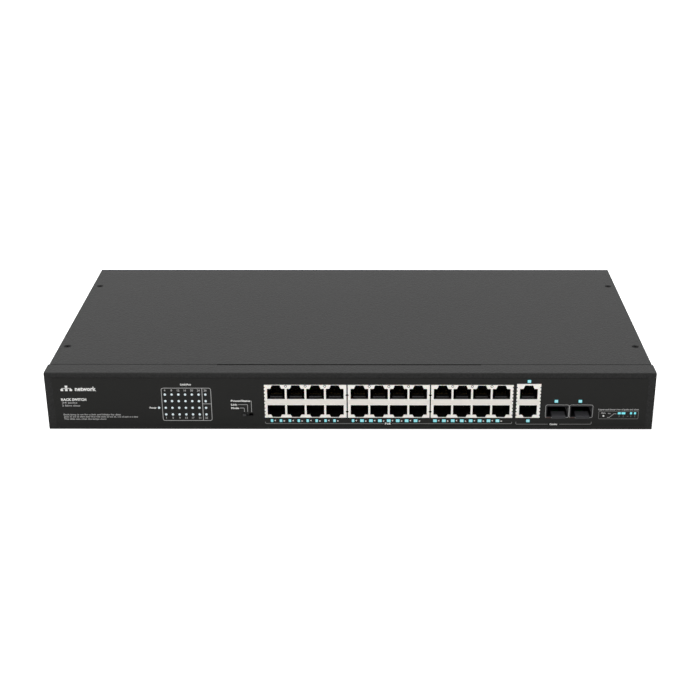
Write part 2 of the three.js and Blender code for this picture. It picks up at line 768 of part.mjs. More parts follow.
GANG_X.forEach((x, i) => {
  add(`jack_bezel_${i + 1}`, jackBezel(x, GANG_WIDTH, 4, GANG_TOP), ivory);
  add(`jack_body_${i + 1}`, jackBody(x, GANG_WIDTH, 4, GANG_TOP), blackPlastic);
  add(`magnetics_${i + 1}`, magnetics(x), chipPlastic);
});
add('combo_jack_bezel', jackBezel(COMBO_X, COMBO_WIDTH, 1, COMBO_TOP), ivory);
add('combo_jack_body', jackBody(COMBO_X, COMBO_WIDTH, 1, COMBO_TOP), blackPlastic);

CAGE_X.forEach((x, i) => {
  add(`sfp_cage_${i + 1}`, sfpCage(x), steel);
  add(`sfp_connector_${i + 1}`, sfpConnector(x), blackPlastic);
});

add('mode_switch_body', modeSwitchBody(), blackPlastic);
add('mode_switch_knob', modeSwitchKnob(), blackPlastic);
add('led_light_pipe', ledLightPipe(), clear);
add('main_board', mainBoard(), fibreglass);
add('switch_chip', box([32, 67], [-32, 3], [SEAT, SEAT + 3]), chipPlastic);
add('switch_heatsink', switchHeatsink([30, 69], [-34, 5], [SEAT + 3.1, SEAT + 20], 8), aluminium);
add('poe_heatsink', switchHeatsink([-60, -10], [-30, 10], [SEAT, SEAT + 18], 9), aluminium);

add('psu_board', psuBoard(), fibreglass);
add('psu_transformer', transformer(-140, 10), copper);
add('psu_bulk_capacitor', canCapacitor(-172, 42, 11, 30), blackPlastic);
add('psu_line_choke', lineChoke(-172, 70), copper);
add('psu_heatsink_1', uprightHeatsink(-150, 36, 42), aluminium);
add('psu_heatsink_2', uprightHeatsink(-125, 36, 42), aluminium);
add('psu_output_capacitor_1', canCapacitor(-110, 24, 6.3, 25), blackPlastic);
add('psu_output_capacitor_2', canCapacitor(-110, 6, 6.3, 25), blackPlastic);

add('power_inlet', powerInlet(), blackPlastic);
Object.entries(INLET_PINS).forEach(([name, pin]) => {
  add(`inlet_pin_${name}`, inletPin(pin), brass);
});

const LEAD_START = INLET_BACK - INLET_TAIL - 0.3;

// A lead leaves its pin straight, away from the inlet
function inletTail([dx, dz]) {
  return [LEAD_START, LEAD_START - 3].map((y) => [INLET_X + dx, y, INLET_Z + dz]);
}
add('ac_lead_line', lead([
  ...inletTail(INLET_PINS.line),
  [-140, 84, 19],
  [-135, 84, 16],
  [-132, 84, 13],
  [-132, 84, SEAT + 0.3],
], 1.1, 12), brownLead);
add('ac_lead_neutral', lead([
  ...inletTail(INLET_PINS.neutral),
  [-158.5, 83, 17.5],
  [-159, 82, 13],
  [-159, 82, SEAT + 0.3],
], 1.1, 12), blueLead);
add('earth_lead', lead([
  ...inletTail(INLET_PINS.earth),
  [-149, 83.5, 30],
  [-142, 92, 36],
  [-126, 98, 31],
  [-112, 99, 22],
  [GROUND_SCREW[0], 105, GROUND_SCREW[1]],
  [GROUND_SCREW[0], 112.6, GROUND_SCREW[1]],
], 1.1, 20), greenLead);
add('dc_harness', lead([
  [-105, -20, SEAT + 0.3],
  [-105, -20, 13],
  [-98, -22, 19],
  [-86, -24, 19],
  [-78, -25, 13],
  [-78, -25, SEAT + 0.3],
], 1.8, 16), redLead);

FAN_Y.forEach((y, i) => {
  add(`fan_frame_${i + 1}`, fanFrame(y), blackPlastic);
  add(`fan_rotor_${i + 1}`, fanRotor(y), blackPlastic);
});

COVER_SCREWS.forEach(([x, y], i) => {
  add(`cover_screw_${i + 1}`, flatScrew([x, y, SCREW_TOP], [0, 0, 1], SCREW_HEAD, 1.4, 7), darkScrew);
});
BOARD_SCREWS.forEach(([x, y], i) => {
  add(`board_screw_${i + 1}`, boardScrew(x, y), steel);
});
PSU_SCREWS.forEach(([x, y], i) => {
  add(`psu_screw_${i + 1}`, boardScrew(x, y), steel);
});
const GROUND_AT = [GROUND_SCREW[0], REAR + TOUCH, GROUND_SCREW[1]];
add('ground_screw', panScrew(GROUND_AT, [0, 1, 0], 3.6, 1.9, 5), steel);
INLET_SCREWS.forEach(([x, z], i) => {
  const at = [x, INLET_FACE + TOUCH, z];
  add(`inlet_screw_${i + 1}`, flatScrew(at, [0, 1, 0], 1.62, 1.45, 6), steel);
});

export default group;
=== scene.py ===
import math

import bmesh
import bpy
from mathutils import Matrix, Vector


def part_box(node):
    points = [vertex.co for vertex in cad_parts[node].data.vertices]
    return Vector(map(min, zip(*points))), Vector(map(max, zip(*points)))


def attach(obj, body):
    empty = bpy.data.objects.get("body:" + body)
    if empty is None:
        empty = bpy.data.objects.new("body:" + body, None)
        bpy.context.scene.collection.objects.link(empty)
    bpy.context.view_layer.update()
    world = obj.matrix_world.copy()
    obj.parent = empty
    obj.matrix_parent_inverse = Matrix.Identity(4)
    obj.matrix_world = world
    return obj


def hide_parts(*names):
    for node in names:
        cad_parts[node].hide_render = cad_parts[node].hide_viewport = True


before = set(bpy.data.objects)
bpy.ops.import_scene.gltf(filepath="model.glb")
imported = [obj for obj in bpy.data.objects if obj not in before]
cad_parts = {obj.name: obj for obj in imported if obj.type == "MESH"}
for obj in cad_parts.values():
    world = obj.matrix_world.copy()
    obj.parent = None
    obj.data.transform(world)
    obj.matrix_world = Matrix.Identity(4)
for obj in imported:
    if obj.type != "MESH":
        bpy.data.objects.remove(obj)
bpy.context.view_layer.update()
scene = bpy.context.scene
MM = 0.001


# ---- camera, floor and light -----------------------------------------------------------
CAMERA_PLACE = (0.01919, -1.05214, 0.42683)
CAMERA_DOWN = 26.637     # degrees below level
CAMERA_TURN = 0.205      # degrees towards the left
CAMERA_ROLL = -0.036     # degrees about the line of sight


def set_camera():
    """Stands in front of the switch, a little right of its middle, and looks down on it."""
    lens = bpy.data.cameras.new("camera")
    lens.sensor_width = 36.0
    lens.lens = 72.25
    lens.shift_x = -0.0316
    lens.shift_y = 0.186
    lens.clip_end = 50.0
    camera = bpy.data.objects.new("camera", lens)
    scene.collection.objects.link(camera)
    look_down = math.radians(90.0 - CAMERA_DOWN)
    turn = Matrix.Rotation(math.radians(CAMERA_TURN), 4, "Z")
    tilt = Matrix.Rotation(look_down, 4, "X")
    roll = Matrix.Rotation(math.radians(CAMERA_ROLL), 4, "Z")
    place = Matrix.Translation(CAMERA_PLACE)
    camera.matrix_world = place @ turn @ tilt @ roll
    scene.camera = camera


def softbox(name, place, aim, size, power):
    """A rectangular lamp of a width and height, turned to face a point."""
    lamp = bpy.data.lights.new(name, "AREA")
    lamp.shape = "RECTANGLE"
    lamp.size = size[0]
    lamp.size_y = size[1]
    lamp.energy = power
    holder = bpy.data.objects.new(name, lamp)
    scene.collection.objects.link(holder)
    direction = Vector(aim) - Vector(place)
    turn = direction.to_track_quat("-Z", "Y").to_matrix().to_4x4()
    holder.matrix_world = Matrix.Translation(place) @ turn


def set_studio():
    """White surroundings, a broad lamp overhead, one behind and a small one in front."""
    sky = bpy.data.worlds.new("studio")
    sky.use_nodes = True
    backdrop = sky.node_tree.nodes["Background"]
    backdrop.inputs["Color"].default_value = (1.0, 1.0, 1.0, 1.0)
    backdrop.inputs["Strength"].default_value = 0.5
    scene.world = sky
    scene.view_settings.view_transform = "Standard"
    softbox("overhead", (0.0, 0.5, 2.6), (0.0, 0.1, 0.0), (4.0, 2.6), 54.0)
    softbox("back_wall", (0.0, 3.0, 1.7), (0.0, 0.0, 0.0), (5.0, 2.6), 31.5)
    softbox("front_fill", (-0.9, -2.2, 1.9), (0.0, -0.1, 0.02), (1.6, 1.2), 23.0)


def lay_floor():
    """White paper that fades into the surroundings, just under the case."""
    bm = bmesh.new()
    bmesh.ops.create_grid(bm, x_segments=1, y_segments=1, size=9.0)
    bmesh.ops.translate(bm, verts=bm.verts, vec=(0.0, 0.0, -0.0002))
    mesh = bpy.data.meshes.new("floor")
    bm.to_mesh(mesh)
    bm.free()
    floor = bpy.data.objects.new("floor", mesh)
    scene.collection.objects.link(floor)
    paper = bpy.data.materials.new("studio_paper")
    paper.use_nodes = True
    skin = paper.node_tree.nodes["Principled BSDF"]
    skin.inputs["Base Color"].default_value = (0.93, 0.93, 0.93, 1.0)
    skin.inputs["Roughness"].default_value = 0.9
    skin.inputs["Emission Color"].default_value = (1.0, 1.0, 1.0, 1.0)
    seen = paper.node_tree.nodes.new("ShaderNodeLightPath")
    glow = paper.node_tree.nodes.new("ShaderNodeMath")
    glow.operation = "MULTIPLY"
    glow.inputs[1].default_value = 0.6
    paper.node_tree.links.new(seen.outputs["Is Camera Ray"], glow.inputs[0])
    paper.node_tree.links.new(glow.outputs[0], skin.inputs["Emission Strength"])
    mesh.materials.append(paper)


set_camera()
set_studio()
lay_floor()


# ---- shared surface effects ---------------------------------------------------------
def new_group(name, numbers, colours, outputs):
    """A shader node group with named inputs, its input and output nodes in place."""
    group = bpy.data.node_groups.new(name, "ShaderNodeTree")
    for label, value in numbers.items():
        socket = group.interface.new_socket(label, in_out="INPUT", socket_type="NodeSocketFloat")
        socket.default_value = value
    for label, value in colours.items():
        socket = group.interface.new_socket(label, in_out="INPUT", socket_type="NodeSocketColor")
        socket.default_value = value
    for label, kind in outputs.items():
        group.interface.new_socket(label, in_out="OUTPUT", socket_type=kind)
    return group, group.nodes.new("NodeGroupInput"), group.nodes.new("NodeGroupOutput")


def grain_group():
    """Fine moulded or sprayed grain: a bump of even noise, Size apart in metres."""
    group, given, result = new_group(
        "fine_grain", {"Size": 0.0006, "Height": 0.00002}, {}, {"Normal": "NodeSocketVector"},
    )
    nodes, links = group.nodes, group.links
    place = nodes.new("ShaderNodeTexCoord")
    per_metre = nodes.new("ShaderNodeMath")
    per_metre.operation = "DIVIDE"
    per_metre.inputs[0].default_value = 1.0
    noise = nodes.new("ShaderNodeTexNoise")
    noise.inputs["Detail"].default_value = 3.0
    bump = nodes.new("ShaderNodeBump")
    bump.inputs["Strength"].default_value = 1.0
    links.new(given.outputs["Size"], per_metre.inputs[1])
    links.new(per_metre.outputs[0], noise.inputs["Scale"])
    links.new(place.outputs["Object"], noise.inputs["Vector"])
    links.new(noise.outputs["Fac"], bump.inputs["Height"])
    links.new(given.outputs["Height"], bump.inputs["Distance"])
    links.new(bump.outputs["Normal"], result.inputs["Normal"])
    return group


def tone_group():
    """A colour that drifts slowly over the piece and is finely speckled."""
    group, given, result = new_group(
        "tone", {"Drift": 0.1, "Speckle": 0.1, "Speckle Size": 0.0008},
        {"Colour": (0.5, 0.5, 0.5, 1.0)}, {"Colour": "NodeSocketColor", "Fine": "NodeSocketFloat"},
    )
    nodes, links = group.nodes, group.links
    place = nodes.new("ShaderNodeTexCoord")
    broad = nodes.new("ShaderNodeTexNoise")
    broad.inputs["Scale"].default_value = 9.0
    broad.inputs["Detail"].default_value = 4.0
    per_metre = nodes.new("ShaderNodeMath")
    per_metre.operation = "DIVIDE"
    per_metre.inputs[0].default_value = 1.0
    fine = nodes.new("ShaderNodeTexNoise")
    fine.inputs["Detail"].default_value = 2.0
    links.new(place.outputs["Object"], broad.inputs["Vector"])
    links.new(place.outputs["Object"], fine.inputs["Vector"])
    links.new(given.outputs["Speckle Size"], per_metre.inputs[1])
    links.new(per_metre.outputs[0], fine.inputs["Scale"])
    factors = []
    for source, amount in ((broad, "Drift"), (fine, "Speckle")):
        centred = nodes.new("ShaderNodeMath")
        centred.operation = "SUBTRACT"
        centred.inputs[1].default_value = 0.5
        scaled = nodes.new("ShaderNodeMath")
        scaled.operation = "MULTIPLY_ADD"
        scaled.inputs[2].default_value = 1.0
        twice = nodes.new("ShaderNodeMath")
        twice.operation = "MULTIPLY"
        twice.inputs[1].default_value = 4.0
        links.new(source.outputs["Fac"], centred.inputs[0])
        links.new(centred.outputs[0], twice.inputs[0])
        links.new(twice.outputs[0], scaled.inputs[0])
        links.new(given.outputs[amount], scaled.inputs[1])
        factors.append(scaled)
    both = nodes.new("ShaderNodeMath")
    both.operation = "MULTIPLY"
    tint = nodes.new("ShaderNodeVectorMath")
    tint.operation = "SCALE"
    links.new(factors[0].outputs[0], both.inputs[0])
    links.new(factors[1].outputs[0], both.inputs[1])
    links.new(given.outputs["Colour"], tint.inputs[0])
    links.new(both.outputs[0], tint.inputs["Scale"])
    links.new(tint.outputs["Vector"], result.inputs["Colour"])
    links.new(fine.outputs["Fac"], result.inputs["Fine"])
    return group


def drawn_metal_group():
    """Rolled sheet: lines along X that vary the roughness and lift the surface a little."""
    group, given, result = new_group(
        "drawn_metal", {"Roughness": 0.3, "Spread": 0.15, "Height": 0.000004}, {},
        {"Roughness": "NodeSocketFloat", "Normal": "NodeSocketVector"},
    )
    nodes, links = group.nodes, group.links
    place = nodes.new("ShaderNodeTexCoord")
    stretch = nodes.new("ShaderNodeMapping")
    stretch.inputs["Scale"].default_value = (40.0, 2500.0, 2500.0)
    noise = nodes.new("ShaderNodeTexNoise")
    noise.inputs["Scale"].default_value = 1.0
    noise.inputs["Detail"].default_value = 3.0
    rough = nodes.new("ShaderNodeMath")
    rough.operation = "MULTIPLY_ADD"
    bump = nodes.new("ShaderNodeBump")
    links.new(place.outputs["Object"], stretch.inputs["Vector"])
    links.new(stretch.outputs["Vector"], noise.inputs["Vector"])
    links.new(noise.outputs["Fac"], rough.inputs[0])
    links.new(given.outputs["Spread"], rough.inputs[1])
    links.new(given.outputs["Roughness"], rough.inputs[2])
    links.new(noise.outputs["Fac"], bump.inputs["Height"])
    links.new(given.outputs["Height"], bump.inputs["Distance"])
    links.new(rough.outputs[0], result.inputs["Roughness"])
    links.new(bump.outputs["Normal"], result.inputs["Normal"])
    return group


GRAIN = grain_group()
TONE = tone_group()
DRAWN = drawn_metal_group()


# ---- finishes -------------------------------------------------------------------------
def place_group(material, group, **values):
    """Puts a shared effect in a material, with the material's own values."""
    node = material.node_tree.nodes.new("ShaderNodeGroup")
    node.node_tree = group
    for label, value in values.items():
        node.inputs[label.replace("_", " ")].default_value = value
    return node


def finish(
    name, colour, roughness, drift=0.06, speckle=0.05, speckle_size=0.0008, grain=None, **sockets,
):
    """A finish with a drifting, speckled colour and, if given, a grain (size, height)."""
    material = bpy.data.materials.new(name)
    material.use_nodes = True
    skin = material.node_tree.nodes["Principled BSDF"]
    skin.inputs["Roughness"].default_value = roughness
    for label, value in sockets.items():
        skin.inputs[label.replace("_", " ")].default_value = value
    tone = place_group(
        material, TONE, Colour=(*colour, 1.0), Drift=drift, Speckle=speckle,
        Speckle_Size=speckle_size,
    )
    material.node_tree.links.new(tone.outputs["Colour"], skin.inputs["Base Color"])
    if grain:
        bump = place_group(material, GRAIN, Size=grain[0], Height=grain[1])
        material.node_tree.links.new(bump.outputs["Normal"], skin.inputs["Normal"])
    return material


def metal(name, colour, roughness, spread=0.15, lines=0.000004):
    """Bare rolled metal; lines is the height of its rolling marks in metres."""
    material = finish(name, colour, roughness, drift=0.04, speckle=0.03, Metallic=1.0)
    skin = material.node_tree.nodes["Principled BSDF"]
    drawn = place_group(material, DRAWN, Roughness=roughness, Spread=spread, Height=lines)
    material.node_tree.links.new(drawn.outputs["Roughness"], skin.inputs["Roughness"])
    material.node_tree.links.new(drawn.outputs["Normal"], skin.inputs["Normal"])
    return material


case_paint = finish(
    "case_paint", (0.0172, 0.0172, 0.0169), 0.48, drift=0.05, speckle=0.3, speckle_size=0.0012,
    grain=(0.0014, 0.00028), Specular_IOR_Level=0.15,
)
label_film = finish(
    "label_film", (0.0142, 0.0142, 0.0134), 0.5, drift=0.04, speckle=0.05,
    grain=(0.0004, 0.000008), Specular_IOR_Level=0.14,
)
ivory_plastic = finish(
    "ivory_plastic", (0.90, 0.865, 0.815), 0.38, drift=0.015, speckle=0.012, speckle_size=0.0012,
    grain=(0.0005, 0.000006), Subsurface_Weight=0.12, Subsurface_Scale=0.001,
)
# painted shade: a darker copy of the ivory, for the middle bar's recess between its rims
ivory_recess_shade = finish(
    "ivory_recess_shade", (0.79, 0.745, 0.69), 0.45, drift=0.015, speckle=0.02, grain=(0.0004, 0.00001),
)
# painted shade: the dark ring round each mould mark, standing for the groove round it
ivory_shade = finish(
    "ivory_shade", (0.06, 0.055, 0.05), 0.45, drift=0.02, speckle=0.02, grain=(0.0004, 0.00001),
)
black_plastic = finish(
    "black_plastic", (0.010, 0.010, 0.0105), 0.42, drift=0.05, speckle=0.06,
    grain=(0.0003, 0.00001), Specular_IOR_Level=0.35,
)
jack_black = finish(
    "jack_black", (0.004, 0.004, 0.004), 0.55, drift=0.05, speckle=0.06,
    grain=(0.0003, 0.00001), Specular_IOR_Level=0.2,
)
contact_comb = finish(
    "contact_comb", (0.062, 0.062, 0.066), 0.5, drift=0.03, speckle=0.04, grain=(0.0003, 0.00001),
)
nickel_steel = metal("nickel_steel", (0.47, 0.46, 0.45), 0.28)
# painted shade: the cage steel is darkened far below bare steel to stand for the shade inside the
# cages, over the metal's own grey
shaded_cage_steel = metal("shaded_cage_steel", (0.055, 0.055, 0.058), 0.45)
dull_steel = metal("dull_steel", (0.2, 0.2, 0.2), 0.4)
latch_plate = finish(
    "latch_plate", (0.085, 0.085, 0.093), 0.4, drift=0.04, speckle=0.04, grain=(0.0004, 0.00001),
)
knob_grey = finish(
    "knob_grey", (0.02, 0.02, 0.021), 0.4, drift=0.03, speckle=0.05, grain=(0.0003, 0.00001),
)
black_screw = finish(
    "black_screw", (0.004, 0.004, 0.004), 0.5, grain=(0.0003, 0.000006), Specular_IOR_Level=0.04,
)
aluminium = metal("aluminium", (0.62, 0.63, 0.64), 0.3)
brass_pin = metal("brass_pin", (0.70, 0.52, 0.24), 0.2)
gold_contact = metal("gold_contact", (0.45, 0.33, 0.14), 0.3)
copper_winding = metal("copper_winding", (0.42, 0.17, 0.06), 0.3, lines=0.00003)
dull_copper = finish("dull_copper", (0.10, 0.04, 0.025), 0.5, drift=0.05, speckle=0.05)
board_green = finish(
    "board_green", (0.012, 0.085, 0.032), 0.3, drift=0.1, speckle=0.12, speckle_size=0.002,
    grain=(0.0009, 0.00001), Coat_Weight=0.3,
)
chip_plastic = finish(
    "chip_plastic", (0.018, 0.018, 0.02), 0.55, drift=0.05, speckle=0.1, grain=(0.0002, 0.000008),
)
can_sleeve = finish(
    "can_sleeve", (0.012, 0.016, 0.04), 0.3, drift=0.05, speckle=0.03, Coat_Weight=0.4,
)
clear_plastic = finish(
    "clear_plastic", (0.78, 0.84, 0.88), 0.12, drift=0.01, speckle=0.01, Transmission_Weight=0.7,
)
core_ferrite = finish(
    "core_ferrite", (0.03, 0.028, 0.027), 0.6, speckle=0.15, grain=(0.0004, 0.00002),
)
winding_tape = finish("winding_tape", (0.75, 0.55, 0.06), 0.35, drift=0.05, speckle=0.02)
lead_sleeves = {
    "ac_lead_line": finish("lead_brown", (0.12, 0.05, 0.02), 0.45, speckle=0.02),
    "ac_lead_neutral": finish("lead_blue", (0.03, 0.08, 0.3), 0.45, speckle=0.02),
    "earth_lead": finish("lead_green", (0.10, 0.40, 0.05), 0.45, speckle=0.02),
    "dc_harness": finish("lead_red", (0.40, 0.02, 0.01), 0.45, speckle=0.02),
}
white_ink = finish("white_ink", (0.80, 0.80, 0.78), 0.5, drift=0.02, speckle=0.03)
grey_ink = finish("grey_ink", (0.165, 0.165, 0.16), 0.5, drift=0.02, speckle=0.03)
pale_ink = finish("pale_ink", (0.36, 0.36, 0.355), 0.5, drift=0.02, speckle=0.03)
cyan_ink = finish("cyan_ink", (0.22, 0.88, 0.97), 0.45, drift=0.02, speckle=0.03)
cut_dark = finish(
    "cut_dark", (0.003, 0.003, 0.003), 0.8, drift=0.02, speckle=0.03, Specular_IOR_Level=0.0,
)
lamp_window = finish(
    "lamp_window", (0.74, 0.86, 0.90), 0.25, drift=0.02, speckle=0.02, Coat_Weight=0.5,
)


# ---- pieces ---------------------------------------------------------------------------
def show(name, bm, materials, body="root", stands_for=(), smooth=38.0):
    """Makes a piece of a bmesh: smooth over gentle edges, riding on its body."""
    mesh = bpy.data.meshes.new(name)
    bm.to_mesh(mesh)
    bm.free()
    mesh.shade_smooth()
    mesh.set_sharp_from_angle(angle=math.radians(smooth))
    for material in materials:
        mesh.materials.append(material)
    piece = bpy.data.objects.new(name, mesh)
    scene.collection.objects.link(piece)
    weigh = piece.modifiers.new("even_faces", "WEIGHTED_NORMAL")
    weigh.keep_sharp = True
    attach(piece, body)
    if stands_for:
        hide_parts(*stands_for)
    return piece


def from_frame(node):
    """A merged copy of a CAD node, its flat faces whole again."""
    bm = bmesh.new()
    bm.from_mesh(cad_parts[node].data)
    bmesh.ops.remove_doubles(bm, verts=bm.verts, dist=0.002 * MM)
    bmesh.ops.dissolve_limit(bm, angle_limit=math.radians(0.5), verts=bm.verts, edges=bm.edges)
    return bm


def sharp_edges(bm, least=35.0, wanted=None):
    """Outside edges sharper than an angle in degrees, and picked by wanted if it is given."""
    limit = math.radians(least)
    outside = [e for e in bm.edges if e.is_manifold and e.is_convex]
    edges = [e for e in outside if e.calc_face_angle(0.0) > limit]
    return [e for e in edges if wanted is None or wanted(e)]


def soften(bm, width, segments=2, least=35.0, wanted=None):
    """Rounds the outside corners that are sharper than an angle."""
    bmesh.ops.bevel(
        bm, geom=sharp_edges(bm, least, wanted), offset=width, segments=segments, profile=0.5,
        affect="EDGES", clamp_overlap=True, material=-1,
    )


def block(bm, low, high):
    """Adds a box to a bmesh from its low and high corner, and returns its vertices."""
    made = bmesh.ops.create_cube(bm, size=1.0)["verts"]
    low, high = Vector(low), Vector(high)
    bmesh.ops.scale(bm, verts=made, vec=high - low)
    bmesh.ops.translate(bm, verts=made, vec=(low + high) / 2)
    return made


def refined(node, material, width, segments=2, smooth=38.0, body="root"):
    """A CAD node's own shape with softened corners and its finish."""
    bm = from_frame(node)
    if width:
        soften(bm, width, segments)
    return show(node + "_fine", bm, [material], body, (node,), smooth)


# ---- driving places, from the frame --------------------------------------------------------
panel_low, panel_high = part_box("front_panel")
film_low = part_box("front_overlay")[0]
pipe_low, pipe_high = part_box("led_light_pipe")
FILM_FACE = film_low.y
BEZEL_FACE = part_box("jack_bezel_1")[0].y
GANGS = ["1", "2", "3"]
PORT_PITCH = 14.15 * MM
PORT_HALF = 6.4 * MM
UPPER_FLOOR = 23.95 * MM
UPPER_SHOULDER = 32.1 * MM
LOWER_ROOF = 19.35 * MM
LOWER_SHOULDER = 11.7 * MM
CARRIER_DEPTH = 2.6 * MM      # from the bezel's face back to the contact carriers
CONTACT_PITCH = 1.02 * MM
CONTACTS = 8
BOARD_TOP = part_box("main_board")[1].z


def middle_x(node):
    low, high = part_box(node)
    return (low.x + high.x) / 2


def port_columns(centre, columns):
    """The middle of each column of ports in a block."""
    return [centre + PORT_PITCH * (i - (columns - 1) / 2) for i in range(columns)]


# ---- case -------------------------------------------------------------------------------
def make_front_panel():
    """The panel's ends turn back over a larger radius than its cut edges have."""
    bm = from_frame("front_panel")

    def end_corner(edge):
        at_end = all(abs(v.co.x) > panel_high.x - 0.01 * MM for v in edge.verts)
        return at_end and all(v.co.y < panel_low.y + 1.5 * MM for v in edge.verts)

    soften(bm, 0.6 * MM, 4, 15.0, end_corner)
    soften(bm, 0.12 * MM, 1, 60.0)
    show("front_panel_fine", bm, [case_paint], "root", ("front_panel",), 50.0)


def make_lid_seal():
    """Flat black sheets in the groove between the panel's return and the lid: painted shade that
    makes the groove read dark.
    """
    groove_front = panel_high.y
    notch_front = groove_front - 0.9 * MM     # the return is notched along its middle
    groove_back = groove_front + 0.85 * MM
    bottom, top = 43.4 * MM, 43.95 * MM
    bm = bmesh.new()
    # painted shade: these flat black sheets fill the groove so that it reads dark
    for left, right, near in (
        (-219.0, -97.0, groove_front), (-97.0, 95.0, notch_front), (95.0, 219.0, groove_front),
    ):
        block(bm, (left * MM, near + 0.02 * MM, bottom), (right * MM, groove_back, top))
    show("lid_gap_painted_shade", bm, [cut_dark], "root")


def make_case():
    make_front_panel()
    make_lid_seal()
    refined("top_cover", case_paint, 0.2 * MM, 2, 50.0)
    refined("chassis_base", case_paint, 0.15 * MM, 1, 50.0)
    refined("front_overlay", label_film, 0.08 * MM, 1)


# ---- jacks --------------------------------------------------------------------------------
RIM = 0.62 * MM          # height of the raised rims of a bezel
MARK_DROP = 1.0 * MM     # from a bezel's top edge to the middle of its mould marks


def face_disc(bm, x, z, radius, face, stand, sides=16):
    """A flat round plate on a front face, standing a little proud of it."""
    made = bmesh.ops.create_cone(
        bm, cap_ends=True, segments=sides, radius1=radius, radius2=radius, depth=2 * stand,
    )["verts"]
    bmesh.ops.rotate(bm, verts=made, matrix=Matrix.Rotation(math.radians(90), 3, "X"))
    bmesh.ops.translate(bm, verts=made, vec=(x, face, z))


def make_mould_marks(node, xs, face, top):
    """Round marks that the mould's pins leave at the top edge, between the ports: a pale middle in
    a dark ring that is painted shade of the groove round each mark.
    """
    rings, centres = bmesh.new(), bmesh.new()
    for x in xs:
        face_disc(rings, x, top - MARK_DROP, 1.0 * MM, face, 0.03 * MM)
        face_disc(centres, x, top - MARK_DROP, 0.6 * MM, face, 0.06 * MM, 12)
    show(node + "_mark_shade_rings", rings, [ivory_shade], "root")
    show(node + "_mark_centres", centres, [ivory_plastic], "root")


def make_bezel(node, columns):
    """Ivory front frame: softened port edges, a raised rim over and under the middle bar, and
    painted shade of the bar's recess as a darker ivory field between the rims.
    """
    bm = from_frame(node)
    soften(bm, 0.12 * MM, 2, 40.0)
    low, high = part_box(node)
    for z in (UPPER_FLOOR - RIM, LOWER_ROOF):
        rim = block(
            bm, (low.x + 0.3 * MM, low.y - 0.16 * MM, z + 0.04 * MM),
            (high.x - 0.3 * MM, low.y + 0.3 * MM, z + RIM - 0.04 * MM),
        )
        edges = list({e for v in rim for e in v.link_edges})
        bmesh.ops.bevel(
            bm, geom=edges, offset=0.13 * MM, segments=2, profile=0.5, affect="EDGES", material=-1,
        )
    show(node + "_fine", bm, [ivory_plastic], "root", (node,))
    # painted shade of the bar's recess: the darker ivory field between the rims
    field = bmesh.new()
    block(
        field, (low.x + 0.6 * MM, low.y - 0.03 * MM, LOWER_ROOF + RIM - 0.02 * MM),
        (high.x - 0.6 * MM, low.y + 0.1 * MM, UPPER_FLOOR - RIM + 0.02 * MM),
    )
    show(node + "_bar", field, [ivory_recess_shade], "root")
    if columns > 1:
        xs = port_columns((low.x + high.x) / 2, columns)
        make_mould_marks(node, [x + PORT_PITCH / 2 for x in xs[:-1]], low.y, high.z)


def add_comb(bm, x, floor, side):
    """Grey comb on the front of a contact carrier: a strip with nine teeth."""
    front = BEZEL_FACE + CARRIER_DEPTH - 0.06 * MM
    back = front + 0.5 * MM
    strip = (0.5, 0.85, x, 4.3 * MM)
    teeth = [
        (0.8, 1.3, x + CONTACT_PITCH * (i - CONTACTS / 2), 0.3 * MM) for i in range(CONTACTS + 1)
    ]
    for low_z, high_z, at, half in [strip] + teeth:
        ends = sorted((floor + side * low_z * MM, floor + side * high_z * MM))
        block(bm, (at - half, front, ends[0]), (at + half, back, ends[1]))


def add_wires(bm, x, floor, side):
    """Eight spring wires that rise from the carrier towards the back of the port."""
    front = BEZEL_FACE + CARRIER_DEPTH + 5.0 * MM
    half_wide, half_thick, length = 0.2 * MM, 0.14 * MM, 6.5 * MM
    for i in range(CONTACTS):
        at = x + CONTACT_PITCH * (i - (CONTACTS - 1) / 2)
        base = floor + side * 1.1 * MM
        wire = block(
            bm, (at - half_wide, front, base - half_thick),
            (at + half_wide, front + length, base + half_thick),
        )
        rear = [v for v in wire if v.co.y > front + 3.0 * MM]
        bmesh.ops.translate(bm, verts=rear, vec=(0.0, 0.0, side * 1.6 * MM))


def add_side_springs(bm, x, shoulder, side):
    """A small bent leaf on each side wall of a port, near its shoulder."""
    for wall in (-1, 1):
        at = x + wall * (PORT_HALF - 0.16 * MM)
        z = shoulder - side * 1.5 * MM
        leaf = block(
            bm, (at - 0.12 * MM, BEZEL_FACE + 1.5 * MM, z - 0.55 * MM),
            (at + 0.12 * MM, BEZEL_FACE + 3.4 * MM, z + 0.55 * MM),
        )
        front = [v for v in leaf if v.co.y < BEZEL_FACE + 2.0 * MM]
        bmesh.ops.translate(bm, verts=front, vec=(0.0, 0.0, side * 0.5 * MM))


def make_jack(body, columns):
    """Black body with the comb, wires and side leaves of each port."""
    refined(body, jack_black, 0.1 * MM, 1)
    combs, wires, leaves = bmesh.new(), bmesh.new(), bmesh.new()
    rows = ((UPPER_FLOOR, UPPER_SHOULDER, 1), (LOWER_ROOF, LOWER_SHOULDER, -1))
    for x in port_columns(middle_x(body), columns):
        for floor, shoulder, side in rows:
            add_comb(combs, x, floor, side)
            add_wires(wires, x, floor, side)
            add_side_springs(leaves, x, shoulder, side)
    show(body + "_combs", combs, [contact_comb], "root")
    show(body + "_wires", wires, [gold_contact], "root")
    show(body + "_leaves", leaves, [dull_steel], "root")


